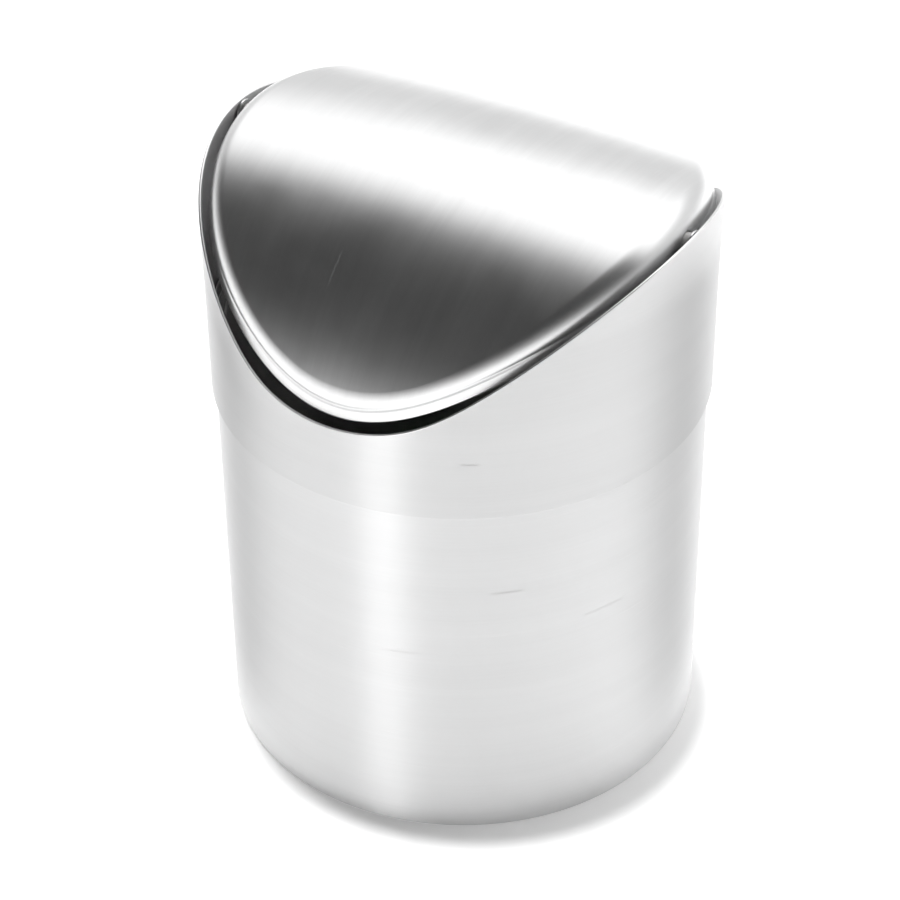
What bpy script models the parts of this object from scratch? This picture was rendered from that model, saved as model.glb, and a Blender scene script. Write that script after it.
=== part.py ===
import math

import bmesh
import bpy
import numpy as np
from mathutils import Matrix, Vector

# Driving dimensions, in millimetres. The origin is the centre of the base on the floor,
# +Z is up, the front is at -Y and the lid swings about a line along X.
MM = 0.001
SEGMENTS = 72

CAN_RADIUS = 59.0
CAN_SHEET = 0.6
CAN_HEIGHT = 110.0
CAN_LIP_RADIUS = 1.3
CAN_LIP_DROP = 1.1
CAN_FOOT_RADIUS = 54.5

BASE_RADIUS = 58.1
BASE_FLANGE_TOP = 7.0
BASE_PANEL_RADIUS = 44.0
BASE_PANEL_RISE = 1.4

COLLAR_RADIUS = 60.1
COLLAR_SHEET = 0.7
COLLAR_BOTTOM = 95.8
COLLAR_SPLAY = 0.43
SPLAY_START = 118.0
RIM_ARC_RADIUS = 60.0
RIM_ARC_TOP = 151.0
RIM_FLOOR = 112.9
RIM_SOFTNESS = 13.6
COLLAR_ROWS = 7

SEAT_OUTER_RADIUS = 59.1
SEAT_INNER_RADIUS = 56.6
SEAT_BOTTOM = 110.3
SEAT_TOP = 114.2
SEAT_SHEET = 0.6

LID_RADIUS = 58.5
LID_SHEET = 0.6
LID_TOP = 157.4
LID_ARC_RADIUS = 67.3
LID_CROWN = 2.2
LID_FRONT_BEND_WIDTH = 1.3
LID_FRONT_BEND_HEIGHT = 1.7
LID_SIDE_BEND_WIDTH = 5.2
LID_SIDE_BEND_HEIGHT = 6.0
LID_SIDE_BEND_POWER = 3.2
LID_SKIRT = 3.2
LID_FLARE = 0.8
LID_NOD = math.radians(3.0)

PIVOT_HEIGHT = 148.8
PIVOT_HOLE_RADIUS = 2.6
STUD_RADIUS = 1.5
STUD_FLANGE_RADIUS = 3.2
STUD_FLANGE_OUTER = 59.5
STUD_FLANGE_INNER = 59.0
STUD_END = 53.0
BUSH_RADIUS = 2.3
BUSH_BORE = 1.58
BUSH_OUTER_END = 58.7
BUSH_FLANGE_RADIUS = 3.1
BUSH_FLANGE_FACE = 55.5
BUSH_INNER_END = 54.9
NUT_RADIUS = 3.0
NUT_BORE = 1.75
NUT_OUTER_FACE = 54.4
NUT_INNER_FACE = 53.8


def clear_scene():
    for obj in list(bpy.data.objects):
        bpy.data.objects.remove(obj, do_unlink=True)


def make_material(name, color, roughness, metallic):
    material = bpy.data.materials.new(name)
    material.use_nodes = True
    shader = material.node_tree.nodes["Principled BSDF"]
    shader.inputs["Base Color"].default_value = (color[0], color[1], color[2], 1.0)
    shader.inputs["Roughness"].default_value = roughness
    shader.inputs["Metallic"].default_value = metallic
    return material


def add_object(name, mesh, material):
    obj = bpy.data.objects.new(name, mesh)
    bpy.context.scene.collection.objects.link(obj)
    mesh.materials.append(material)
    for polygon in mesh.polygons:
        polygon.use_smooth = True
    return obj


def turned(name, profile, material, steps=SEGMENTS):
    """A profile of (radius, height) points in millimetres, turned once about its own Z axis."""
    mesh = bpy.data.meshes.new(name)
    points = [(radius * MM, 0.0, height * MM) for radius, height in profile]
    edges = [(i, i + 1) for i in range(len(points) - 1)]
    if profile[0][0] > 0.0:
        edges.append((len(points) - 1, 0))
    mesh.from_pydata(points, edges, [])
    obj = add_object(name, mesh, material)
    screw = obj.modifiers.new("Turn", "SCREW")
    screw.axis = "Z"
    screw.angle = 2.0 * math.pi
    screw.steps = steps
    screw.render_steps = steps
    screw.use_merge_vertices = True
    screw.merge_threshold = 0.00001
    screw.use_smooth_shade = True
    return obj


def arc(center_radius, center_height, radius, start, end, count):
    """Points of an arc in a turned profile. Angles are in degrees from the outward direction."""
    angles = np.radians(np.linspace(start, end, count))
    return [
        (center_radius + radius * math.cos(a), center_height + radius * math.sin(a))
        for a in angles
    ]


def smooth_step(value):
    value = np.clip(value, 0.0, 1.0)
    return value * value * (3.0 - 2.0 * value)


def rim_height(y):
    """Saddle cut of the collar: a circular arc seen from the side, eased into a rounded low point."""
    arch = RIM_ARC_TOP - RIM_ARC_RADIUS + np.sqrt(RIM_ARC_RADIUS**2 - y**2)
    return 0.5 * (arch + RIM_FLOOR + np.sqrt((arch - RIM_FLOOR) ** 2 + RIM_SOFTNESS**2))


def vault_height(x, y):
    """Top of the lid: a barrel vault along X that also falls a little towards both pivots."""
    drop = LID_ARC_RADIUS - np.sqrt(LID_ARC_RADIUS**2 - y**2)
    return LID_TOP - drop - LID_CROWN * (x / LID_RADIUS) ** 2


def nod_forward(points):
    """The lid hangs a little front down: its points are turned about the pivot line."""
    y = points[:, 1]
    z = points[:, 2] - PIVOT_HEIGHT
    cos, sin = math.cos(LID_NOD), math.sin(LID_NOD)
    return np.stack([points[:, 0], y * cos - z * sin, y * sin + z * cos + PIVOT_HEIGHT], axis=1)


def ring_angles():
    return np.linspace(0.0, 2.0 * math.pi, SEGMENTS, endpoint=False)


def ring_points(radius, angles):
    return radius * np.sin(angles), -radius * np.cos(angles)


def mesh_from_rings(name, rings, center=None):
    """One sheet through rings of points given from the middle or top outwards, facing out."""
    form = bmesh.new()
    rows = []
    for ring in rings:
        rows.append([form.verts.new(point * MM) for point in ring])
    count = len(rows[0])
    if center is not None:
        middle = form.verts.new(center * MM)
        for i in range(count):
            form.faces.new((middle, rows[0][i], rows[0][(i + 1) % count]))
    for upper, lower in zip(rows[:-1], rows[1:]):
        for i in range(count):
            j = (i + 1) % count
            form.faces.new((upper[i], lower[i], lower[j], upper[j]))
    form.normal_update()
    mesh = bpy.data.meshes.new(name)
    form.to_mesh(mesh)
    form.free()
    return mesh


def thicken(obj, thickness):
    solid = obj.modifiers.new("Sheet", "SOLIDIFY")
    solid.thickness = thickness * MM
    solid.offset = -1.0
    solid.use_even_offset = True
    solid.use_rim = True


def build_can(steel):
    """The lower can: a straight wall with its lip curled inwards and its foot turned under."""
    middle = CAN_RADIUS - CAN_LIP_RADIUS
    height = CAN_HEIGHT - CAN_LIP_RADIUS
    lip_end = CAN_HEIGHT - CAN_LIP_RADIUS - CAN_LIP_DROP
    inner = CAN_RADIUS - CAN_SHEET
    profile = [(middle - CAN_LIP_RADIUS, lip_end)]
    profile += arc(middle, height, CAN_LIP_RADIUS, 180.0, 0.0, 7)
    profile += arc(CAN_RADIUS - 0.5, 0.5, 0.5, 0.0, -90.0, 3)
    profile += [(CAN_FOOT_RADIUS, 0.0), (CAN_FOOT_RADIUS, CAN_SHEET)]
    profile += [(inner - 0.2, CAN_SHEET), (inner, CAN_SHEET + 0.2)]
    profile += arc(middle, height, CAN_LIP_RADIUS - CAN_SHEET, 0.0, 180.0, 5)
    profile += [(middle - CAN_LIP_RADIUS + CAN_SHEET, lip_end)]
    turned("can_wall", profile, steel)


def build_base(steel):
    """The pressed bottom: a pan with a raised panel, standing on the can's turned foot."""
    under = CAN_SHEET + 0.3
    top = under + CAN_SHEET
    inner = BASE_RADIUS - CAN_SHEET
    profile = [
        (0.0, top + BASE_PANEL_RISE),
        (BASE_PANEL_RADIUS, top + BASE_PANEL_RISE),
        (BASE_PANEL_RADIUS + 2.5, top),
        (inner - 0.6, top),
        (inner, top + 0.6),
        (inner, BASE_FLANGE_TOP),
        (BASE_RADIUS, BASE_FLANGE_TOP),
        (BASE_RADIUS, top),
        (BASE_RADIUS - 0.6, under),
        (BASE_PANEL_RADIUS + 2.7, under),
        (BASE_PANEL_RADIUS + 0.2, under + BASE_PANEL_RISE),
        (0.0, under + BASE_PANEL_RISE),
    ]
    turned("can_base", profile, steel)


def build_collar(steel):
    """The upper band: a slightly wider tube with a saddle-cut rim, splayed at the pivots."""
    angles = ring_angles()
    x, y = ring_points(COLLAR_RADIUS - COLLAR_SHEET, angles)
    rim = rim_height(y)
    rings = []
    for share in np.linspace(1.0, 0.0, COLLAR_ROWS):
        z = COLLAR_BOTTOM + (rim - COLLAR_BOTTOM) * share
        rise = smooth_step((z - SPLAY_START) / (RIM_ARC_TOP - SPLAY_START))
        radius = COLLAR_RADIUS + COLLAR_SPLAY * rise * np.sin(angles) ** 2
        x, y = ring_points(radius, angles)
        rings.append(np.stack([x, y, z], axis=1))
    mesh = mesh_from_rings("collar", rings)
    obj = add_object("collar", mesh, steel)
    thicken(obj, COLLAR_SHEET)


def build_seat(steel):
    """The angle ring inside the collar: its flat leg rests on the can's lip."""
    inner = SEAT_OUTER_RADIUS - SEAT_SHEET
    profile = [
        (inner, SEAT_TOP),
        (SEAT_OUTER_RADIUS, SEAT_TOP),
        (SEAT_OUTER_RADIUS, SEAT_BOTTOM + 0.4),
        (SEAT_OUTER_RADIUS - 0.4, SEAT_BOTTOM),
        (SEAT_INNER_RADIUS, SEAT_BOTTOM),
        (SEAT_INNER_RADIUS, SEAT_BOTTOM + SEAT_SHEET),
        (inner - 0.1, SEAT_BOTTOM + SEAT_SHEET),
        (inner, SEAT_BOTTOM + SEAT_SHEET + 0.1),
    ]
    turned("seat_ring", profile, steel)


def lid_rings():
    """Rings of the lid's outer face: vault, bend over the edge, then the slightly flared skirt."""
    angles = ring_angles()
    side = np.abs(np.sin(angles)) ** LID_SIDE_BEND_POWER
    width = LID_FRONT_BEND_WIDTH + (LID_SIDE_BEND_WIDTH - LID_FRONT_BEND_WIDTH) * side
    height = LID_FRONT_BEND_HEIGHT + (LID_SIDE_BEND_HEIGHT - LID_FRONT_BEND_HEIGHT) * side
    neck = LID_RADIUS - LID_FLARE
    rings = []
    for share in (0.13, 0.27, 0.41, 0.54, 0.66, 0.77, 0.87, 0.94, 1.0):
        x, y = ring_points((neck - width) * share, angles)
        rings.append(np.stack([x, y, vault_height(x, y)], axis=1))
    for bend in np.radians((18.0, 36.0, 54.0, 72.0, 90.0)):
        radius = neck - width * (1.0 - math.sin(bend))
        x, y = ring_points(radius, angles)
        z = vault_height(x, y) - height * (1.0 - math.cos(bend))
        rings.append(np.stack([x, y, z], axis=1))
    x, y = ring_points(LID_RADIUS, angles)
    rings.append(np.stack([x, y, rings[-1][:, 2] - LID_SKIRT], axis=1))
    return [nod_forward(ring) for ring in rings]


def build_lid(steel):
    """The swing lid: one pressed sheet with a hole for the pivot at each side."""
    middle = nod_forward(np.array([[0.0, 0.0, LID_TOP]]))[0]
    mesh = mesh_from_rings("lid", lid_rings(), middle)
    pivot = np.array([0.0, 0.0, PIVOT_HEIGHT]) * MM
    mesh.transform(move_by(-pivot))
    obj = add_object("lid", mesh, steel)
    obj.location = pivot
    thicken(obj, LID_SHEET)
    cutter = pivot_cutter()
    cut = obj.modifiers.new("Pivot holes", "BOOLEAN")
    cut.operation = "DIFFERENCE"
    cut.solver = "EXACT"
    cut.object = cutter


def move_by(offset):
    return Matrix.Translation(Vector([float(value) for value in offset]))


def pivot_cutter():
    """A bar along the pivot line, longer than the lid is wide, that cuts both holes."""
    mesh = bpy.data.meshes.new("pivot_cutter")
    form = bmesh.new()
    bmesh.ops.create_cone(
        form,
        cap_ends=True,
        segments=24,
        radius1=PIVOT_HOLE_RADIUS * MM,
        radius2=PIVOT_HOLE_RADIUS * MM,
        depth=2.4 * LID_RADIUS * MM,
    )
    form.to_mesh(mesh)
    form.free()
    obj = bpy.data.objects.new("pivot_cutter", mesh)
    bpy.context.scene.collection.objects.link(obj)
    obj.location = (0.0, 0.0, PIVOT_HEIGHT * MM)
    obj.rotation_euler = (0.0, math.pi / 2.0, 0.0)
    obj.hide_render = True
    obj.display_type = "WIRE"
    return obj


def build_pivot(side, label, steel, nylon, spring_steel):
    """One pivot, turned about the pivot line: the welded stud, its bush and its push nut."""
    stud = [
        (0.0, STUD_FLANGE_OUTER),
        (STUD_FLANGE_RADIUS, STUD_FLANGE_OUTER),
        (STUD_FLANGE_RADIUS, STUD_FLANGE_INNER),
        (STUD_RADIUS, STUD_FLANGE_INNER),
        (STUD_RADIUS, STUD_END + 0.4),
        (STUD_RADIUS - 0.4, STUD_END),
        (0.0, STUD_END),
    ]
    bush = [
        (BUSH_BORE, BUSH_OUTER_END),
        (BUSH_RADIUS, BUSH_OUTER_END),
        (BUSH_RADIUS, BUSH_FLANGE_FACE),
        (BUSH_FLANGE_RADIUS, BUSH_FLANGE_FACE),
        (BUSH_FLANGE_RADIUS, BUSH_INNER_END),
        (BUSH_BORE, BUSH_INNER_END),
    ]
    nut = [
        (NUT_BORE, NUT_OUTER_FACE),
        (NUT_RADIUS, NUT_OUTER_FACE),
        (NUT_RADIUS, NUT_INNER_FACE + 0.25),
        (NUT_RADIUS - 0.25, NUT_INNER_FACE),
        (NUT_BORE, NUT_INNER_FACE),
    ]
    for name, profile, material in (
        ("pivot_stud_", stud, steel),
        ("pivot_bush_", bush, nylon),
        ("push_nut_", nut, spring_steel),
    ):
        obj = turned(name + label, profile, material, 32)
        obj.location = (0.0, 0.0, PIVOT_HEIGHT * MM)
        obj.rotation_euler = (0.0, side * math.pi / 2.0, 0.0)


clear_scene()
can_steel = make_material("can_steel", (0.74, 0.74, 0.73), 0.3, 1.0)
base_steel = make_material("base_steel", (0.66, 0.66, 0.66), 0.38, 1.0)
collar_steel = make_material("collar_steel", (0.74, 0.74, 0.73), 0.28, 1.0)
seat_steel = make_material("seat_steel", (0.62, 0.62, 0.62), 0.42, 1.0)
lid_steel = make_material("lid_steel", (0.74, 0.74, 0.73), 0.26, 1.0)
stud_steel = make_material("stud_steel", (0.70, 0.70, 0.70), 0.3, 1.0)
bush_nylon = make_material("bush_nylon", (0.82, 0.82, 0.80), 0.5, 0.0)
nut_steel = make_material("nut_steel", (0.45, 0.46, 0.48), 0.4, 1.0)

build_can(can_steel)
build_base(base_steel)
build_collar(collar_steel)
build_seat(seat_steel)
build_lid(lid_steel)
build_pivot(1.0, "right", stud_steel, bush_nylon, nut_steel)
build_pivot(-1.0, "left", stud_steel, bush_nylon, nut_steel)
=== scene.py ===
import math

import bpy
import numpy as np
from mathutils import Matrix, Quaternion, Vector


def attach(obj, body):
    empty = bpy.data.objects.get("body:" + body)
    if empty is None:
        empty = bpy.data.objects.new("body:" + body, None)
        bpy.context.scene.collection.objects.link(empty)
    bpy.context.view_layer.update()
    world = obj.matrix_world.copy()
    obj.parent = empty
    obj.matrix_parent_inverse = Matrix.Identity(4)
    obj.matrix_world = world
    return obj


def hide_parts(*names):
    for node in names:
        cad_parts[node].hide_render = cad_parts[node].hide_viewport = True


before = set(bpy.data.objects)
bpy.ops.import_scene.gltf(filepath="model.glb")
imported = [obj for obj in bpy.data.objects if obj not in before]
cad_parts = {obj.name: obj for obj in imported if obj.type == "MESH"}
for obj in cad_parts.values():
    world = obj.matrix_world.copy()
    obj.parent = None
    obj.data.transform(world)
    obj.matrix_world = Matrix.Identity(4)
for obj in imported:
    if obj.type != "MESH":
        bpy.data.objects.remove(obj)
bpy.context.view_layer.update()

mm = 0.001


def ringXY(radius, turn):
    # A circle seen from above: turn 0 is the front, and it runs towards the right.
    return radius * np.sin(turn), -radius * np.cos(turn)


def smoothStep(value):
    # 0 below 0, 1 above 1, and the S curve 3t^2 - 2t^3 between them
    t = np.clip(value, 0.0, 1.0)
    return t * t * (3.0 - 2.0 * t)


def turnsRound(count, seamWidth=0.0):
    # Angles once round, from the back to the back, with extra ones close to the weld at the back
    turns = np.linspace(-math.pi, math.pi, count + 1)
    if seamWidth > 0.0:
        near = np.linspace(0.1, 1.0, 9) * seamWidth
        turns = np.unique(np.concatenate([turns, near - math.pi, math.pi - near]))
    return turns


def gridMesh(name, points, across, along, startPole=False, endPole=False, wrapRows=False):
    # Rows of points, each row once round with its last column repeating its first.
    # across and along are the brush map: metres across the grooves and along them.
    rows, cols = points.shape[:2]
    ring = cols - 1
    verts = points[:, :ring].reshape(-1, 3)
    upper = np.arange(rows if wrapRows else rows - 1)
    lower = (upper + 1) % rows
    j = np.arange(ring)
    k = (j + 1) % ring
    quads = np.stack([
        upper[:, None] * ring + j, lower[:, None] * ring + j,
        lower[:, None] * ring + k, upper[:, None] * ring + k], axis=-1).reshape(-1, 4)
    mapU = np.stack([across[upper][:, :-1], across[lower][:, :-1],
                     across[lower][:, 1:], across[upper][:, 1:]], axis=-1).reshape(-1, 4)
    mapV = np.stack([along[upper][:, :-1], along[lower][:, :-1],
                     along[lower][:, 1:], along[upper][:, 1:]], axis=-1).reshape(-1, 4)
    loops = [quads.ravel()]
    sizes = [np.full(len(quads), 4)]
    mapped = [np.stack([mapU.ravel(), mapV.ravel()], axis=-1)]
    for wanted, row, turned in ((startPole, 0, False), (endPole, rows - 1, True)):
        if not wanted:
            continue
        tip = len(verts)
        verts = np.vstack([verts, points[row].mean(axis=0)])
        tips = np.full(ring, tip)
        fan = np.stack([tips, row * ring + j, row * ring + k], axis=-1)
        fanU = np.stack([0.0 * across[row, 1:], across[row, :-1], across[row, 1:]], axis=-1)
        fanV = np.stack([0.0 * along[row, 1:], along[row, :-1], along[row, 1:]], axis=-1)
        if turned:
            fan, fanU, fanV = fan[:, ::-1], fanU[:, ::-1], fanV[:, ::-1]
        loops.append(fan.ravel())
        sizes.append(np.full(ring, 3))
        mapped.append(np.stack([fanU.ravel(), fanV.ravel()], axis=-1))
    loops = np.concatenate(loops).astype(np.int32)
    sizes = np.concatenate(sizes).astype(np.int32)
    starts = np.concatenate([[0], np.cumsum(sizes)[:-1]]).astype(np.int32)
    mesh = bpy.data.meshes.new(name)
    mesh.vertices.add(len(verts))
    mesh.vertices.foreach_set("co", np.ascontiguousarray(verts, np.float32).ravel())
    mesh.loops.add(len(loops))
    mesh.loops.foreach_set("vertex_index", loops)
    mesh.polygons.add(len(sizes))
    mesh.polygons.foreach_set("loop_start", starts)
    mesh.polygons.foreach_set("loop_total", sizes)
    mesh.polygons.foreach_set("use_smooth", np.ones(len(sizes), bool))
    brush = mesh.uv_layers.new(name="brush")
    brush.data.foreach_set("uv", np.concatenate(mapped).astype(np.float32).ravel())
    mesh.update(calc_edges=True)
    mesh.validate()
    return mesh


def rowLengths(points):
    # Distance walked from the first row to each row, down every column
    steps = np.linalg.norm(np.diff(points, axis=0), axis=-1)
    return np.vstack([np.zeros((1, points.shape[1])), np.cumsum(steps, axis=0)])


def cornerArc(centerR, centerZ, radius, start, end, count):
    # An arc in a turned profile, its angles in degrees from the outward direction
    angle = np.radians(np.linspace(start, end, count))
    return np.stack([centerR + radius * np.cos(angle), centerZ + radius * np.sin(angle)], axis=-1)


def densify(profile, longest):
    # Straight stretches longer than this are split evenly
    pieces = []
    for a, b in zip(profile[:-1], profile[1:]):
        count = max(1, int(math.ceil(np.linalg.norm(b - a) / longest)))
        pieces.append(a + (b - a) * np.linspace(0.0, 1.0, count, endpoint=False)[:, None])
    return np.vstack(pieces + [profile[-1:]])


def turnedMesh(name, profile, turns, startPole=False, endPole=False, wrapRows=False, bump=None):
    # A profile of (radius, height) in millimetres turned once about Z. bump adds to the radius.
    radius = profile[:, :1] + np.zeros((1, len(turns)))
    height = profile[:, 1:] + np.zeros((1, len(turns)))
    if bump is not None:
        radius = radius + bump(radius, height, turns[None, :])
    x, y = ringXY(radius, turns[None, :])
    points = np.stack([x, y, height], axis=-1) * mm
    across = rowLengths(points)
    along = radius * turns[None, :] * mm
    return gridMesh(name, points, across, along, startPole, endPole, wrapRows)


def addPiece(name, mesh, material, body, node):
    # One finished piece: its mesh, finish, moving body, material slot and the CAD node it stands for
    piece = bpy.data.objects.new(name, mesh)
    bpy.context.scene.collection.objects.link(piece)
    if not mesh.materials:
        mesh.materials.append(material)
    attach(piece, body)
    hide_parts(node)
    return piece


def pointFloat(mesh, name, values):
    # One number for each vertex, for a finish to read
    layer = mesh.attributes.new(name, "FLOAT", "POINT")
    layer.data.foreach_set("value", np.ascontiguousarray(values, np.float32))


class Nodes:
    # Short names for the node calls that every finish uses
    def __init__(self, material):
        self.tree = material.node_tree

    def new(self, kind, **settings):
        node = self.tree.nodes.new(kind)
        for key, value in settings.items():
            setattr(node, key, value)
        return node

    def link(self, source, target):
        self.tree.links.new(source, target)

    def put(self, socket, value):
        if isinstance(value, bpy.types.NodeSocket):
            self.link(value, socket)
        else:
            socket.default_value = value

    def math(self, operation, a, b=0.0, c=0.0):
        node = self.new("ShaderNodeMath", operation=operation)
        for socket, value in zip(node.inputs, (a, b, c)):
            self.put(socket, value)
        return node.outputs[0]

    def scaled(self, vector, scale, turn=0.0):
        node = self.new("ShaderNodeMapping")
        self.link(vector, node.inputs["Vector"])
        node.inputs["Rotation"].default_value = (0.0, 0.0, turn)
        node.inputs["Scale"].default_value = scale
        return node.outputs["Vector"]

    def noise(self, vector, scale=1.0, detail=2.0, roughness=0.5, distortion=0.0):
        node = self.new("ShaderNodeTexNoise")
        self.link(vector, node.inputs["Vector"])
        node.inputs["Scale"].default_value = scale
        node.inputs["Detail"].default_value = detail
        node.inputs["Roughness"].default_value = roughness
        node.inputs["Distortion"].default_value = distortion
        return node.outputs["Fac"]

    def ramp(self, value, low, high, outLow=0.0, outHigh=1.0):
        node = self.new("ShaderNodeMapRange", interpolation_type="SMOOTHSTEP")
        for socket, number in zip(node.inputs, (value, low, high, outLow, outHigh)):
            self.put(socket, number)
        return node.outputs[0]

    def mix(self, amount, a, b):
        node = self.new("ShaderNodeMix", data_type="RGBA")
        self.put(node.inputs["Factor"], amount)
        self.put(node.inputs["A"], a)
        self.put(node.inputs["B"], b)
        return node.outputs["Result"]


def vertexPlaces(mesh):
    # All vertex places of a mesh as rows of x, y, z
    places = np.zeros(len(mesh.vertices) * 3, np.float32)
    mesh.vertices.foreach_get("co", places)
    return places.reshape(-1, 3)


def grey(level, warmth=0.0):
    # A neutral colour: warmth adds to its red and takes from its blue
    return (level * (1.0 + warmth), level, level * (1.0 - warmth), 1.0)


def brushedSteel(name, look):
    # Sheet steel: fine grooves along the brush map, soft streaks, cloudy haze, a few scratches
    # and brighter rubbed edges.
    material = bpy.data.materials.new(name)
    material.use_nodes = True
    nodes = Nodes(material)
    shader = material.node_tree.nodes["Principled BSDF"]
    brushMap = nodes.new("ShaderNodeUVMap", uv_map="brush").outputs["UV"]
    place = nodes.new("ShaderNodeTexCoord").outputs["Object"]
    fine = nodes.noise(nodes.scaled(brushMap, look["fineGrooves"]), detail=3.0, roughness=0.65)
    broad = nodes.noise(nodes.scaled(brushMap, look["broadGrooves"]), detail=2.0)
    streak = nodes.noise(nodes.scaled(brushMap, look["softStreaks"]), detail=2.0)
    haze = nodes.noise(place, look["hazeScale"], detail=4.0, roughness=0.55, distortion=0.4)
    rub = nodes.new("ShaderNodeAttribute", attribute_name="rubbed").outputs["Fac"]
    scratches = 0.0
    for turn, scale, cut in look["scratches"]:
        line = nodes.noise(nodes.scaled(brushMap, scale, turn), detail=1.0)
        gate = nodes.noise(place, 55.0 + 20.0 * turn, detail=1.0)
        shown = nodes.math("MULTIPLY", nodes.ramp(line, cut, cut + 0.03), nodes.ramp(gate, 0.52, 0.62))
        scratches = nodes.math("MAXIMUM", shown, scratches)
    grain = nodes.math("ADD", nodes.math("MULTIPLY", fine, 0.6), nodes.math("MULTIPLY", broad, 0.4))
    rough = nodes.math("MULTIPLY_ADD", grain, look["grainRough"], look["rough"] - 0.5 * look["grainRough"])
    rough = nodes.math("MULTIPLY_ADD", haze, look["hazeRough"], rough)
    rough = nodes.math("MULTIPLY_ADD", scratches, 0.12, rough)
    rough = nodes.math("MULTIPLY_ADD", rub, look["rubRough"], rough)
    nodes.link(rough, shader.inputs["Roughness"])
    tone = nodes.math("MULTIPLY_ADD", streak, look["streakTone"], 0.5 - 0.5 * look["streakTone"])
    tone = nodes.math("MULTIPLY_ADD", grain, look["grainTone"], tone)
    tone = nodes.math("MULTIPLY_ADD", haze, look["hazeTone"], tone)
    tone = nodes.math("SUBTRACT", tone, 0.5 * (look["grainTone"] + look["hazeTone"]))
    color = nodes.mix(tone, look["dark"], look["light"])
    color = nodes.mix(nodes.math("MULTIPLY", scratches, look["scratchTone"]), color, grey(0.95))
    color = nodes.mix(nodes.math("MULTIPLY", rub, 0.5), color, grey(0.93))
    nodes.link(color, shader.inputs["Base Color"])
    relief = nodes.math("SUBTRACT", grain, nodes.math("MULTIPLY", scratches, 0.8))
    bump = nodes.new("ShaderNodeBump")
    bump.inputs["Strength"].default_value = look["bump"]
    bump.inputs["Distance"].default_value = 0.02 * mm
    nodes.link(relief, bump.inputs["Height"])
    nodes.link(bump.outputs["Normal"], shader.inputs["Normal"])
    tangent = nodes.new("ShaderNodeTangent", direction_type="UV_MAP", uv_map="brush")
    nodes.link(tangent.outputs["Tangent"], shader.inputs["Tangent"])
    shader.inputs["Metallic"].default_value = 1.0
    shader.inputs["Anisotropic"].default_value = look["anisotropy"]
    return material


aroundLook = {
    "rough": 0.42, "grainRough": 0.10, "hazeRough": 0.05, "rubRough": -0.06,
    "fineGrooves": (7000.0, 45.0, 1.0), "broadGrooves": (1500.0, 14.0, 1.0),
    "softStreaks": (160.0, 5.0, 1.0), "hazeScale": 26.0,
    "streakTone": 0.35, "grainTone": 0.5, "hazeTone": 0.25,
    "dark": grey(0.67, -0.002), "light": grey(0.82, -0.002),
    "scratches": ((0.32, (900.0, 28.0, 1.0), 0.70), (-0.5, (700.0, 34.0, 1.0), 0.72)),
    "scratchTone": 0.2,
    "bump": 0.12, "anisotropy": 0.9,
}
lidLook = dict(
    aroundLook, rough=0.27, grainRough=0.07, fineGrooves=(6000.0, 120.0, 1.0),
    broadGrooves=(1200.0, 40.0, 1.0), softStreaks=(240.0, 14.0, 1.0), anisotropy=0.45,
    dark=grey(0.64, -0.002), light=grey(0.84, -0.002), bump=0.16,
    streakTone=0.45, hazeTone=0.7, hazeRough=0.14, hazeScale=34.0,
    scratches=((0.9, (800.0, 60.0, 1.0), 0.74), (-0.7, (900.0, 50.0, 1.0), 0.75)))
millLook = dict(
    aroundLook, rough=0.42, grainRough=0.16, fineGrooves=(2600.0, 300.0, 1.0),
    broadGrooves=(700.0, 120.0, 1.0), anisotropy=0.25,
    dark=grey(0.50), light=grey(0.66), bump=0.10)
cutLook = dict(
    aroundLook, rough=0.36, grainRough=0.3, fineGrooves=(400.0, 3600.0, 1.0),
    broadGrooves=(200.0, 1500.0, 1.0), anisotropy=0.0,
    dark=grey(0.62), light=grey(0.93), bump=0.5)


def moulded(name, color, rough):
    # Nylon: faint mottling in colour and gloss, and a fine moulded grain
    material = bpy.data.materials.new(name)
    material.use_nodes = True
    nodes = Nodes(material)
    shader = material.node_tree.nodes["Principled BSDF"]
    place = nodes.new("ShaderNodeTexCoord").outputs["Object"]
    cloud = nodes.noise(place, 900.0, detail=3.0)
    grain = nodes.noise(place, 9000.0, detail=2.0)
    nodes.link(nodes.mix(cloud, grey(color * 0.9, 0.02), grey(color, 0.01)), shader.inputs["Base Color"])
    nodes.link(nodes.math("MULTIPLY_ADD", grain, 0.15, rough), shader.inputs["Roughness"])
    bump = nodes.new("ShaderNodeBump")
    bump.inputs["Strength"].default_value = 0.15
    bump.inputs["Distance"].default_value = 0.02 * mm
    nodes.link(grain, bump.inputs["Height"])
    nodes.link(bump.outputs["Normal"], shader.inputs["Normal"])
    return material


canSteel = brushedSteel("canBrushedSteel", aroundLook)
collarSteel = brushedSteel("collarBrushedSteel", dict(
    aroundLook, rough=0.40, dark=grey(0.615, -0.002), light=grey(0.755, -0.002)))
cutSteel = brushedSteel("cutSheetEdge", cutLook)
lidSteel = brushedSteel("lidSatinSteel", lidLook)
baseSteel = brushedSteel("baseMillSteel", millLook)
seatSteel = brushedSteel("seatMillSteel", dict(millLook, dark=grey(0.46), light=grey(0.6)))
studSteel = brushedSteel("studTurnedSteel", dict(aroundLook, rough=0.28, fineGrooves=(9000.0, 400.0, 1.0)))
nutSteel = brushedSteel("nutSpringSteel", dict(millLook, dark=grey(0.24), light=grey(0.36)))
bushNylon = moulded("bushNylon", 0.82, 0.42)
print("finishes made:", len(bpy.data.materials))


can = {
    "radius": 59.0, "sheet": 0.6, "height": 110.0, "lipRadius": 1.3, "lipDrop": 1.1,
    "footRadius": 54.5, "footCorner": 0.5, "columns": 256,
    "seamWidth": 0.9, "seamDepth": 0.05, "footWear": 0.7, "lipWear": 0.8, "lipWearFrom": 109.0,
}


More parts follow.
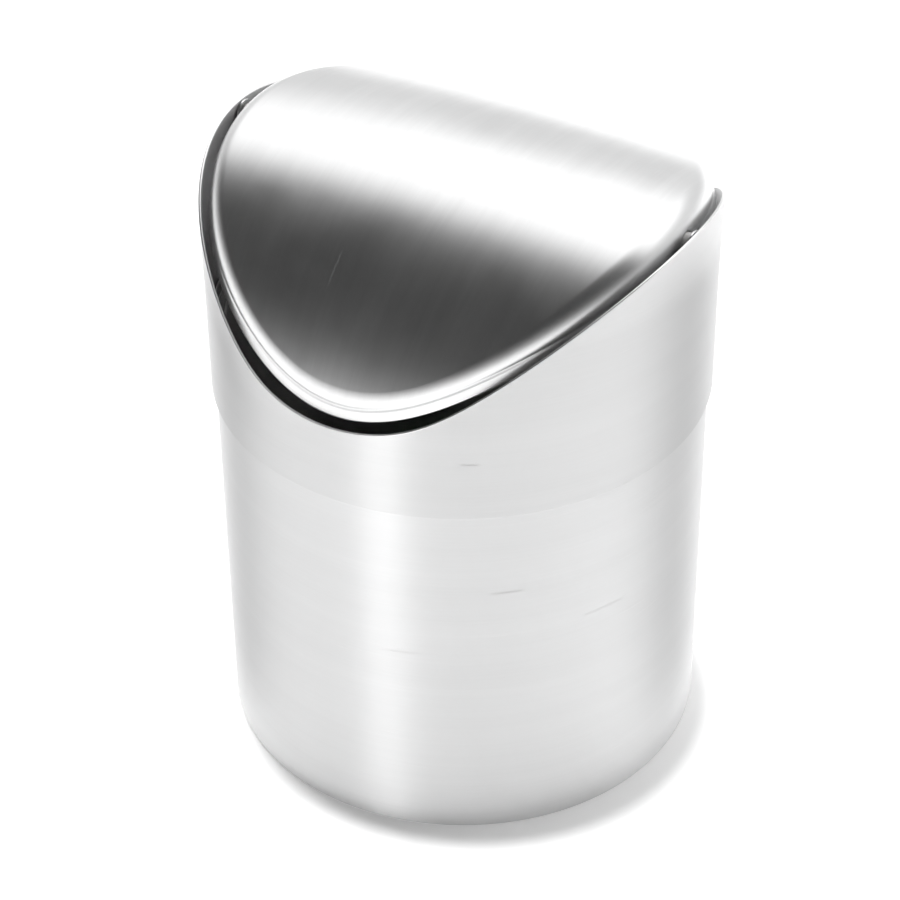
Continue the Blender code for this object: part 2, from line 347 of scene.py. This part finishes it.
def weldSeam(radius, height, turn):
    # The wall's rolled joint: a shallow ground-down groove straight up the back
    away = (math.pi - np.abs(turn)) * can["radius"]
    return -can["seamDepth"] * np.exp(-(away / (0.4 * can["seamWidth"])) ** 2)


def makeCan():
    # The wall's section runs from the end of its curled lip, over it, down the outside,
    # under the foot and back up the inside.
    middle = can["radius"] - can["lipRadius"]
    lipZ = can["height"] - can["lipRadius"]
    lipEnd = lipZ - can["lipDrop"]
    inner = can["radius"] - can["sheet"]
    corner = can["footCorner"]
    tip = can["sheet"] / 2.0
    profile = np.vstack([
        [[middle - can["lipRadius"], lipEnd]],
        cornerArc(middle, lipZ, can["lipRadius"], 180.0, 0.0, 21),
        cornerArc(can["radius"] - corner, corner, corner, 0.0, -90.0, 9),
        cornerArc(can["footRadius"] + tip, tip, tip, -90.0, -270.0, 9),
        cornerArc(inner - 0.2, can["sheet"] + 0.2, 0.2, -90.0, 0.0, 5),
        cornerArc(middle, lipZ, can["lipRadius"] - can["sheet"], 0.0, 180.0, 15),
        [[middle - can["lipRadius"] + can["sheet"], lipEnd]],
        cornerArc(middle - can["lipRadius"] + tip, lipEnd, tip, 0.0, -180.0, 7)[1:-1],
    ])
    turns = turnsRound(can["columns"], can["seamWidth"] / can["radius"])
    mesh = turnedMesh("canWall", densify(profile, 4.0), turns, wrapRows=True, bump=weldSeam)
    height = vertexPlaces(mesh)[:, 2] / mm
    footWear = 0.5 * np.exp(-height / can["footWear"])
    lipWear = 0.4 * smoothStep((height - can["lipWearFrom"]) / can["lipWear"])
    pointFloat(mesh, "rubbed", footWear + lipWear)
    return addPiece("canWallSheet", mesh, canSteel, "can", "can_wall")


makeCan()
print("can wall made")

base = {
    "radius": 58.1, "sheet": 0.6, "under": 0.9, "flangeTop": 7.0,
    "panelRadius": 44.0, "panelRise": 1.4, "panelStep": 2.6,
    "beads": ((20.0, 0.12), (36.0, -0.12)), "beadWidth": 0.9, "columns": 192,
}


def makeBase():
    # A pan with a raised middle: an S curve lifts the panel, one bead stands up and one is sunk,
    # each as rise * exp(-((r - bead) / width)^2), and the rim turns up into a flange.
    sheet, under = base["sheet"], base["under"]
    outer, inner = base["radius"], base["radius"] - base["sheet"]
    r = np.linspace(0.02, inner - 0.8, 60)
    lift = base["panelRise"] * (1.0 - smoothStep((r - base["panelRadius"]) / base["panelStep"]))
    for bead, rise in base["beads"]:
        lift = lift + rise * np.exp(-((r - bead) / base["beadWidth"]) ** 2)
    top = np.stack([r, under + sheet + lift], axis=-1)
    bottom = np.stack([r, under + lift], axis=-1)[::-1]
    tip = sheet / 2.0
    profile = np.vstack([
        top,
        cornerArc(inner - 0.7, under + sheet + 0.7, 0.7, -90.0, 0.0, 7),
        cornerArc(outer - tip, base["flangeTop"] - tip, tip, 180.0, 0.0, 9),
        cornerArc(outer - 1.3, under + 1.3, 1.3, 0.0, -90.0, 9),
        bottom,
    ])
    mesh = turnedMesh("basePan", profile, turnsRound(base["columns"]), True, True)
    return addPiece("basePan", mesh, baseSteel, "can", "can_base")


makeBase()
print("base made")


collar = {
    "radius": 60.1, "sheet": 0.7, "bottom": 95.8, "splay": 0.43, "splayStart": 118.0,
    "arcRadius": 60.0, "arcTop": 151.0, "floor": 112.9, "softness": 13.6,
    "edgeRound": 0.28, "rimWear": 0.2, "columns": 320, "rows": 40,
}


def rimHeight(turn):
    # Height of the saddle cut: an arc seen from the side, arc = top - R + sqrt(R^2 - y^2), and a level
    # floor, joined by the smooth maximum (a + b + sqrt((a - b)^2 + s^2)) / 2.
    y = (collar["radius"] - collar["sheet"]) * np.cos(turn)
    arch = collar["arcTop"] - collar["arcRadius"] + np.sqrt(collar["arcRadius"] ** 2 - y ** 2)
    floor = collar["floor"]
    return 0.5 * (arch + floor + np.sqrt((arch - floor) ** 2 + collar["softness"] ** 2))


def collarRadius(height, turn):
    # The band is round, and splays outwards a little near the pivots: R + s * rise * sin^2(turn)
    rise = smoothStep((height - collar["splayStart"]) / (collar["arcTop"] - collar["splayStart"]))
    return collar["radius"] + collar["splay"] * rise * np.sin(turn) ** 2


def makeCollar():
    # Rows walk the cut sheet's section: over the rim, down the outside, round the lower edge, up inside.
    sheet, bottom, edge = collar["sheet"], collar["bottom"], collar["edgeRound"]
    turns = turnsRound(collar["columns"], can["seamWidth"] / collar["radius"])[None, :]
    rim = rimHeight(turns)
    arc = np.radians(np.linspace(0.0, 90.0, 6))
    # each row is (depth into the sheet, share of the wall's height, millimetres above that)
    overRim = [(sheet - edge + edge * math.cos(a), 1.0, -edge + edge * math.sin(a)) for a in arc]
    overRim += [(edge - edge * math.sin(a), 1.0, -edge + edge * math.cos(a)) for a in arc]
    share = np.linspace(1.0, 0.0, collar["rows"])[1:-1]
    outside = [(0.0, s, 0.0) for s in share]
    under = [(edge - edge * math.cos(a), 0.0, edge - edge * math.sin(a)) for a in arc]
    under += [(sheet - edge + edge * math.sin(a), 0.0, edge - edge * math.cos(a)) for a in arc]
    inside = [(sheet, s, 0.0) for s in share[::-1]]
    section = np.array(overRim + outside + under + inside)
    depth, part, above = (section[:, i:i + 1] for i in range(3))
    height = bottom + (rim - bottom) * part + above
    away = (math.pi - np.abs(turns)) * collar["radius"]
    seam = can["seamDepth"] * np.exp(-(away / (0.4 * can["seamWidth"])) ** 2)
    radius = collarRadius(height, turns) - depth - seam
    x, y = ringXY(radius, turns)
    points = np.stack([x, y, height], axis=-1) * mm
    across = np.where(depth > 0.5 * sheet, -height, height) * mm
    across[:len(overRim)] = depth[:len(overRim)] * mm + np.zeros_like(turns)
    mesh = gridMesh("collarBand", points, across, radius * turns * mm, wrapRows=True)
    mesh.materials.append(collarSteel)
    mesh.materials.append(cutSteel)
    ring = turns.shape[1] - 1
    rows = len(section)
    onCut = np.zeros(rows, np.int32)
    onCut[2:len(overRim) - 2] = 1
    mesh.polygons.foreach_set("material_index", np.repeat(onCut, ring))
    fromRim = np.abs((rim - height)[:, :ring]).reshape(-1)
    pointFloat(mesh, "rubbed", 0.6 * np.exp(-fromRim / collar["rimWear"]))
    return addPiece("collarBand", mesh, collarSteel, "collar", "collar")


makeCollar()
print("collar made")

seat = {"outer": 59.1, "inner": 56.6, "bottom": 110.3, "top": 114.2, "sheet": 0.6, "columns": 192}


def makeSeat():
    # An angle-section ring: an upright leg against the collar and a flat leg over the can's lip
    sheet, tip = seat["sheet"], seat["sheet"] / 2.0
    leg = seat["outer"] - sheet
    profile = np.vstack([
        cornerArc(seat["outer"] - tip, seat["top"] - tip, tip, 180.0, 0.0, 9),
        cornerArc(seat["outer"] - 0.5, seat["bottom"] + 0.5, 0.5, 0.0, -90.0, 7),
        cornerArc(seat["inner"] + tip, seat["bottom"] + tip, tip, -90.0, -270.0, 9),
        cornerArc(leg - 0.3, seat["bottom"] + sheet + 0.3, 0.3, -90.0, 0.0, 5),
    ])
    mesh = turnedMesh("seatRing", profile, turnsRound(seat["columns"]), wrapRows=True)
    return addPiece("seatAngleRing", mesh, seatSteel, "collar", "seat_ring")


makeSeat()
print("seat ring made")


lid = {
    "radius": 58.5, "sheet": 0.6, "top": 157.3, "arcRadius": 67.3, "crown": 2.2,
    "bendWidth": 1.3, "bendHeight": 1.7, "sideBendWidth": 5.2, "sideBendHeight": 6.0, "sideBendPower": 3.2,
    "skirt": 3.2, "flare": 0.8, "nod": 3.0, "creaseDepth": 0.12, "edgeWear": 0.7, "columns": 288,
}
pivot = {
    "height": 148.8, "holeRadius": 2.6, "holeReach": 65.0, "studRadius": 1.5, "flangeRadius": 3.2,
    "flangeOuter": 59.5, "flangeInner": 59.0, "studEnd": 53.0,
    "bushRadius": 2.3, "bushBore": 1.58, "bushOuter": 58.7, "bushFlangeRadius": 3.1,
    "bushFace": 55.5, "bushInner": 54.9, "bushEdge": 0.12,
    "nutRadius": 3.0, "nutBore": 1.75, "nutOuter": 54.4, "nutInner": 53.8,
    "nutTeeth": 6.0, "nutNotch": 0.45,
}


def layAlongX(mesh, side):
    # A piece turned about Z is laid along the pivot line: its +Z goes to the right or the left.
    x, y, z = vertexPlaces(mesh).T
    placed = np.stack([side * z, y, -side * x + pivot["height"] * mm], axis=-1)
    mesh.vertices.foreach_set("co", np.ascontiguousarray(placed, np.float32).ravel())
    mesh.update()
    return mesh


def vaultHeight(radius, turns):
    # Barrel vault along X with a slight crown: z = top - (R - sqrt(R^2 - y^2)) - crown * (x / radius)^2
    x, y = ringXY(radius, turns)
    drop = lid["arcRadius"] - np.sqrt(lid["arcRadius"] ** 2 - y ** 2)
    return lid["top"] - drop - lid["crown"] * (x / lid["radius"]) ** 2


def nodForward(face):
    # The lid hangs a little front down: a turn about the pivot line,
    # y' = y cos(nod) - z sin(nod), z' = y sin(nod) + z cos(nod), with z from the pivots' height
    turned = face.copy()
    c, s = math.cos(math.radians(lid["nod"])), math.sin(math.radians(lid["nod"]))
    y, z = face[..., 1], face[..., 2] - pivot["height"]
    turned[..., 1] = y * c - z * s
    turned[..., 2] = y * s + z * c + pivot["height"]
    return turned


def lidFace(turns):
    # Outer face from the middle outwards: the vault, then a quarter bend whose width and height grow
    # towards the pivots as |sin(turn)|^power, then the skirt, which flares a little from a fine crease.
    side = np.abs(np.sin(turns)) ** lid["sideBendPower"]
    width = lid["bendWidth"] + (lid["sideBendWidth"] - lid["bendWidth"]) * side
    height = lid["bendHeight"] + (lid["sideBendHeight"] - lid["bendHeight"]) * side
    neck = lid["radius"] - lid["flare"]
    share = np.concatenate([np.linspace(0.01, 0.7, 24)[:-1], np.linspace(0.7, 1.0, 32)])[:, None]
    bend = np.radians(np.linspace(0.0, 90.0, 25))[1:, None]
    radius = np.vstack([(neck - width) * share, neck - width * (1.0 - np.sin(bend))])
    x, y = ringXY(radius, turns)
    z = vaultHeight(radius, turns)
    z[len(share):] -= height * (1.0 - np.cos(bend))
    down = np.linspace(0.0, 1.0, 15)[1:, None]
    crease = lid["creaseDepth"] * np.sin(math.pi * np.minimum(down / 0.3, 1.0))
    skirtX, skirtY = ringXY(neck + lid["flare"] * down - crease, turns)
    skirtZ = z[-1:] - lid["skirt"] * down
    face = np.stack([np.vstack([x, skirtX]), np.vstack([y, skirtY]), np.vstack([z, skirtZ])], axis=-1)
    return nodForward(face)


def faceNormals(face):
    # Unit outward normals of a grid whose rows run down and whose columns run round
    downwards = np.gradient(face, axis=0)
    closed = np.concatenate([face[:, -2:-1], face, face[:, 1:2]], axis=1)
    onwards = (closed[:, 2:] - closed[:, :-2]) / 2.0
    normal = np.cross(downwards, onwards)
    return normal / np.maximum(np.linalg.norm(normal, axis=-1, keepdims=True), 1e-12)


def makeLid():
    # The sheet has its outer face, a rounded cut edge and an inner face set in along the normals.
    turns = turnsRound(lid["columns"])[None, :]
    face = lidFace(turns)
    normal = faceNormals(face)
    sheet = lid["sheet"]
    inner = (face - sheet * normal)[::-1]
    edgeTurn = np.radians(np.linspace(0.0, 180.0, 8))[1:-1, None, None]
    last, out = face[-1:], normal[-1:]
    middle = last - 0.5 * sheet * out
    lip = middle + 0.5 * sheet * (np.cos(edgeTurn) * out - np.sin(edgeTurn) * np.array([0.0, 0.0, 1.0]))
    points = np.concatenate([face, lip, inner]) * mm
    walked = rowLengths(face * mm)
    blank = np.concatenate([walked, np.repeat(walked[-1:], len(lip), axis=0), walked[::-1]])
    across = blank * np.sin(turns)
    along = -blank * np.cos(turns)
    mesh = gridMesh("lid", points, across, along, True, True)
    ring = turns.shape[1] - 1
    rubbed = np.zeros((len(points), ring))
    rubbed[len(face) - 2:len(face) + len(lip) + 2] = lid["edgeWear"]
    poles = [0.0, 0.0]
    pointFloat(mesh, "rubbed", np.concatenate([rubbed.reshape(-1), poles]))
    mesh.materials.append(lidSteel)
    cutPivotHoles(mesh)
    return addPiece("lidPressing", bpy.data.meshes["lidCut"], lidSteel, "lid", "lid")


def cutPivotHoles(mesh):
    # A bar along the pivot line takes one hole out of each side of the lid.
    hole, reach, middle = pivot["holeRadius"], pivot["holeReach"], 0.02
    profile = np.array([[middle, reach], [hole, reach], [hole, -reach], [middle, -reach]])
    bar = layAlongX(turnedMesh("holeBar", profile, turnsRound(48), True, True), 1.0)
    cutter = bpy.data.objects.new("holeBar", bar)
    work = bpy.data.objects.new("lidWork", mesh)
    for obj in (cutter, work):
        bpy.context.scene.collection.objects.link(obj)
    cut = work.modifiers.new("Pivot holes", "BOOLEAN")
    cut.operation = "DIFFERENCE"
    cut.solver = "EXACT"
    cut.object = cutter
    graph = bpy.context.evaluated_depsgraph_get()
    result = bpy.data.meshes.new_from_object(work.evaluated_get(graph))
    result.name = "lidCut"
    for obj in (cutter, work):
        bpy.data.objects.remove(obj, do_unlink=True)


makeLid()
print("lid made")


def makeStud(side, label):
    # A welded disc with a domed shoulder and a plain shank with a chamfered end
    r, flange = pivot["studRadius"], pivot["flangeRadius"]
    profile = np.vstack([
        [[0.02, pivot["flangeOuter"]]],
        cornerArc(flange - 0.15, pivot["flangeOuter"] - 0.15, 0.15, 90.0, 0.0, 5),
        cornerArc(flange - 0.15, pivot["flangeInner"] + 0.15, 0.15, 0.0, -90.0, 5),
        cornerArc(r + 0.15, pivot["flangeInner"] - 0.15, 0.15, 90.0, 180.0, 5),
        [[r, pivot["studEnd"] + 0.35], [r - 0.35, pivot["studEnd"]], [0.02, pivot["studEnd"]]],
    ])
    mesh = layAlongX(turnedMesh("stud", profile, turnsRound(64), True, True), side)
    node = "pivot_stud_" + label
    return addPiece("pivotStud_" + label, mesh, studSteel, "collar", node)


def makeBush(side, label):
    # A flanged nylon sleeve with softened edges
    bore, body, flange = pivot["bushBore"], pivot["bushRadius"], pivot["bushFlangeRadius"]
    edge = pivot["bushEdge"]
    profile = np.vstack([
        cornerArc(bore + edge, pivot["bushOuter"] - edge, edge, 180.0, 90.0, 4),
        cornerArc(body - edge, pivot["bushOuter"] - edge, edge, 90.0, 0.0, 4),
        [[body, pivot["bushFace"]]],
        cornerArc(flange - edge, pivot["bushFace"] - edge, edge, 90.0, 0.0, 4),
        cornerArc(flange - edge, pivot["bushInner"] + edge, edge, 0.0, -90.0, 4),
        cornerArc(bore + edge, pivot["bushInner"] + edge, edge, -90.0, -180.0, 4),
    ])
    mesh = layAlongX(turnedMesh("bush", profile, turnsRound(64), wrapRows=True), side)
    node = "pivot_bush_" + label
    return addPiece("pivotBush_" + label, mesh, bushNylon, "lid", node)


def makeNut(side, label):
    # A push nut: the bore is cut into six teeth, r = bore + notch * (cos(6 * turn) above a threshold)
    bore, outer = pivot["nutBore"], pivot["nutRadius"]
    high, low, edge = pivot["nutOuter"], pivot["nutInner"], 0.1

    def teeth(radius, height, turn):
        near = 1.0 - smoothStep((radius - bore) / 0.2)
        return pivot["nutNotch"] * near * smoothStep((np.cos(pivot["nutTeeth"] * turn) - 0.55) / 0.3)

    profile = np.vstack([
        cornerArc(bore + edge, high - edge, edge, 180.0, 90.0, 4),
        [[bore + 0.55, high]],
        cornerArc(outer - edge, high - edge, edge, 90.0, 0.0, 4),
        cornerArc(outer - edge, low + edge, edge, 0.0, -90.0, 4),
        [[bore + 0.55, low]],
        cornerArc(bore + edge, low + edge, edge, -90.0, -180.0, 4),
    ])
    nut = turnedMesh("nut", profile, turnsRound(144), wrapRows=True, bump=teeth)
    mesh = layAlongX(nut, side)
    return addPiece("pushNut_" + label, mesh, nutSteel, "collar", "push_nut_" + label)


for side, label in ((1.0, "right"), (-1.0, "left")):
    makeStud(side, label)
    makeBush(side, label)
    makeNut(side, label)
print("pivots made")


studio = {
    "floorHalf": 4.0, "floorTone": 0.88, "floorGlow": 0.2,
    "front": (0.01, -1.0, 0.0), "edgeBack": -0.29, "edgeFront": -0.07,
    "backLow": 0.85, "backHigh": 1.7, "backSplit": (0.46, 0.62),
    "horizon": 1.0, "frontLow": 0.26, "frontHigh": 0.05,
    "sunTurn": -122.0, "sunRise": 86.8, "sunSize": 3.5, "sunPower": 3.0,
    "stripPlace": (-0.03, -0.9, 0.22), "stripAim": (0.0, 0.0, 0.08), "stripSize": (0.26, 0.4),
    "stripPower": 0.95, "veilFar": 75.0, "veilBelowRim": 16.0, "veilGlow": 0.82,
    "veils": ((-50.0, 17.0, 1.0), (104.0, 22.0, 1.0), (-125.0, 22.0, 0.55), (172.0, 28.0, 0.6)),
}


def makeFloor():
    # One plain sheet of pale paper just below the foot, lit a little from beneath
    half = studio["floorHalf"]
    mesh = bpy.data.meshes.new("floor")
    z = -0.05 * mm
    corners = [(-half, -half, z), (half, -half, z), (half, half, z), (-half, half, z)]
    mesh.from_pydata(corners, [], [(0, 1, 2, 3)])
    floor = bpy.data.objects.new("floor", mesh)
    bpy.context.scene.collection.objects.link(floor)
    material = bpy.data.materials.new("palePaper")
    material.use_nodes = True
    nodes = Nodes(material)
    shader = material.node_tree.nodes["Principled BSDF"]
    place = nodes.new("ShaderNodeTexCoord").outputs["Object"]
    fibre = nodes.noise(place, 160.0, detail=3.0)
    tone = studio["floorTone"]
    nodes.link(nodes.mix(fibre, grey(tone * 0.99), grey(tone)), shader.inputs["Base Color"])
    shader.inputs["Roughness"].default_value = 0.9
    shader.inputs["Specular IOR Level"].default_value = 0.1
    shader.inputs["Emission Color"].default_value = (1.0, 1.0, 1.0, 1.0)
    shader.inputs["Emission Strength"].default_value = studio["floorGlow"]
    mesh.materials.append(material)


def makeDome():
    # White behind and overhead, dark in front above a pale horizon, and plain white to the camera
    world = bpy.data.worlds.new("studioDome")
    bpy.context.scene.world = world
    world.use_nodes = True
    nodes = Nodes(world)
    background = world.node_tree.nodes["Background"]
    towards = nodes.new("ShaderNodeTexCoord").outputs["Generated"]
    height = nodes.new("ShaderNodeSeparateXYZ")
    nodes.link(towards, height.inputs[0])
    up = height.outputs["Z"]
    dot = nodes.new("ShaderNodeVectorMath", operation="DOT_PRODUCT")
    nodes.link(towards, dot.inputs[0])
    dot.inputs[1].default_value = Vector(studio["front"]).normalized()
    ahead = nodes.ramp(dot.outputs["Value"], studio["edgeBack"], studio["edgeFront"])
    low, high = studio["backSplit"]
    back = nodes.ramp(up, low, high, studio["backLow"], studio["backHigh"])
    frontLow = nodes.ramp(up, -0.02, 0.36, studio["horizon"], studio["frontLow"])
    frontHigh = nodes.ramp(up, 0.15, 0.6, 0.0, studio["frontLow"] - studio["frontHigh"])
    front = nodes.math("SUBTRACT", frontLow, frontHigh)
    blend = nodes.new("ShaderNodeMix", data_type="FLOAT")
    nodes.put(blend.inputs["Factor"], ahead)
    nodes.put(blend.inputs["A"], back)
    nodes.put(blend.inputs["B"], front)
    seen = nodes.new("ShaderNodeLightPath").outputs["Is Camera Ray"]
    level = nodes.math("MAXIMUM", blend.outputs["Result"], seen)
    nodes.link(level, background.inputs["Strength"])
    background.inputs["Color"].default_value = (1.0, 1.0, 1.0, 1.0)


def areaLight(name, place, aim, size, power):
    # A rectangular lamp that points from its place at its aim and isn't seen itself
    data = bpy.data.lights.new(name, "AREA")
    data.shape = "RECTANGLE"
    data.size, data.size_y = size
    data.energy = power
    light = bpy.data.objects.new(name, data)
    bpy.context.scene.collection.objects.link(light)
    light.location = place
    light.rotation_mode = "QUATERNION"
    light.rotation_quaternion = (Vector(aim) - Vector(place)).to_track_quat("-Z", "Y")
    light.visible_camera = False
    return light


def makeSun():
    # A high, nearly overhead light from behind the left, for the short shadow at the foot
    data = bpy.data.lights.new("overhead", "SUN")
    data.energy = studio["sunPower"]
    data.angle = math.radians(studio["sunSize"])
    light = bpy.data.objects.new("overhead", data)
    bpy.context.scene.collection.objects.link(light)
    turn, rise = math.radians(studio["sunTurn"]), math.radians(studio["sunRise"])
    towards = Vector((math.sin(turn) * math.cos(rise), -math.cos(turn) * math.cos(rise), math.sin(rise)))
    light.rotation_mode = "QUATERNION"
    light.rotation_quaternion = (-towards).to_track_quat("-Z", "Y")
    return light


def makeVeils():
    # A thin drum round the bin that only its polish sees: it is clear, with grey bands whose strength
    # is the sum of share * exp(-((turn - middle) / spread)^2)
    turns = np.linspace(-180.0, 180.0, 181)
    strength = np.zeros(180)
    for middle, spread, share in studio["veils"]:
        away = (turns[:-1] - middle + 180.0) % 360.0 - 180.0
        strength += share * np.exp(-(away / spread) ** 2)
    x, y = ringXY(studio["veilFar"], np.radians(turns))
    top = rimHeight(np.radians(turns)) - studio["veilBelowRim"]
    points = np.stack([np.stack([x, y, 0.0 * x], axis=-1), np.stack([x, y, top], axis=-1)]) * mm
    mesh = gridMesh("veils", points, 0.0 * points[..., 0], 0.0 * points[..., 0])
    pointFloat(mesh, "veil", np.tile(strength, 2))
    veils = bpy.data.objects.new("veils", mesh)
    bpy.context.scene.collection.objects.link(veils)
    material = bpy.data.materials.new("veil")
    material.use_nodes = True
    nodes = Nodes(material)
    glow = nodes.new("ShaderNodeEmission")
    glow.inputs["Strength"].default_value = studio["veilGlow"]
    both = nodes.new("ShaderNodeMixShader")
    nodes.link(nodes.new("ShaderNodeAttribute", attribute_name="veil").outputs["Fac"], both.inputs[0])
    nodes.link(nodes.new("ShaderNodeBsdfTransparent").outputs[0], both.inputs[1])
    nodes.link(glow.outputs[0], both.inputs[2])
    nodes.link(both.outputs[0], material.node_tree.nodes["Material Output"].inputs["Surface"])
    mesh.materials.append(material)
    veils.visible_camera = False
    veils.visible_diffuse = False
    veils.visible_transmission = False
    veils.visible_shadow = False


def lightOnly(light, names):
    # The light falls on these objects and on nothing else
    group = bpy.data.collections.new(light.name + "Lit")
    for name in names:
        group.objects.link(bpy.data.objects[name])
    light.light_linking.receiver_collection = group


makeFloor()
makeDome()
lightOnly(makeSun(), ["floor"])
strip = areaLight("frontStrip", studio["stripPlace"], studio["stripAim"], studio["stripSize"],
                  studio["stripPower"])
lightOnly(strip, ["canWallSheet", "collarBand"])
makeVeils()
print("studio made")

view = {
    "azimuth": 30.3, "distance": 554.9, "height": 484.3, "lens": 112.75,
    "aimAcross": -3.1, "aimHeight": 70.4, "roll": -0.61,
}


def makeCamera():
    # A long lens from the front right, above the bin, aimed a little left of its axis
    turn = math.radians(view["azimuth"])
    place = Vector((math.sin(turn), -math.cos(turn), 0.0)) * view["distance"] * mm
    place.z = view["height"] * mm
    aim = Vector((math.cos(turn), math.sin(turn), 0.0)) * view["aimAcross"] * mm
    aim.z = view["aimHeight"] * mm
    data = bpy.data.cameras.new("camera")
    data.lens = view["lens"]
    data.sensor_width = 36.0
    data.clip_start = 0.01
    camera = bpy.data.objects.new("camera", data)
    bpy.context.scene.collection.objects.link(camera)
    camera.location = place
    camera.rotation_mode = "QUATERNION"
    level = (aim - place).to_track_quat("-Z", "Y")
    camera.rotation_quaternion = level @ Quaternion((0.0, 0.0, 1.0), math.radians(view["roll"]))
    bpy.context.scene.camera = camera


makeCamera()
settings = bpy.context.scene.view_settings
settings.view_transform = "Standard"
settings.look = "None"
print("camera made")
